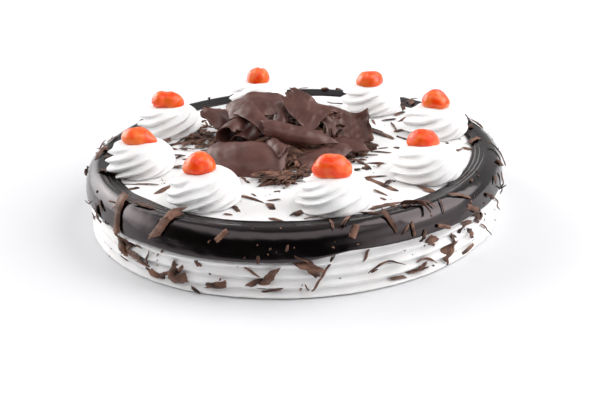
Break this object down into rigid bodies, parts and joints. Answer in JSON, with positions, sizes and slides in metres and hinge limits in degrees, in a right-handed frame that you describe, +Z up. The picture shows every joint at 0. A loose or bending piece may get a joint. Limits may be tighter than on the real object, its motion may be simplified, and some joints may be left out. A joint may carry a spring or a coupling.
{
  "type": "black forest cake",
  "caption": "Low round black forest cake in combed white cream, with a dark chocolate glaze band, piped rosettes topped with halved cherries and a heap of chocolate curls.",
  "frame": {"origin": "middle of the cake's flat underside", "axes": "+Z up through the middle of the cake, -Y towards the shown front, +X to the right"},
  "size_m": [0.255, 0.255, 0.0688],
  "materials": {
    "cream": "matte whipped cream",
    "glaze": "glossy dark chocolate glaze",
    "chocolate": "satin dark chocolate",
    "cherry": "glossy glace cherry"
  },
  "bodies": {
    "root": {"cake_body": "cream", "chocolate_glaze_ring": "glaze", "cream_rosette_1": "cream", "cream_rosette_2": "cream", "cream_rosette_3": "cream", "cream_rosette_4": "cream", "cream_rosette_5": "cream", "cream_rosette_6": "cream", "cream_rosette_7": "cream", "cream_rosette_8": "cream", "cherry_1": "cherry", "cherry_2": "cherry", "cherry_3": "cherry", "cherry_4": "cherry", "cherry_5": "cherry", "cherry_6": "cherry", "cherry_7": "cherry", "cherry_8": "cherry", "curl_front_panel": "chocolate", "curl_long_pod": "chocolate", "curl_high_arch": "chocolate", "curl_arm": "chocolate", "curl_fan": "chocolate", "curl_right_panel": "chocolate", "curl_right_block": "chocolate", "curl_low_leaf": "chocolate", "curl_right_leaf": "chocolate", "curl_open_roll": "chocolate", "curl_half_roll": "chocolate", "curl_left_shard": "chocolate", "curl_small_twist": "chocolate", "curl_inner_twist": "chocolate", "curl_back_strip": "chocolate", "curl_back_left": "chocolate", "curl_back_right": "chocolate", "shavings_mound": "chocolate"}
  },
  "joints": []
}
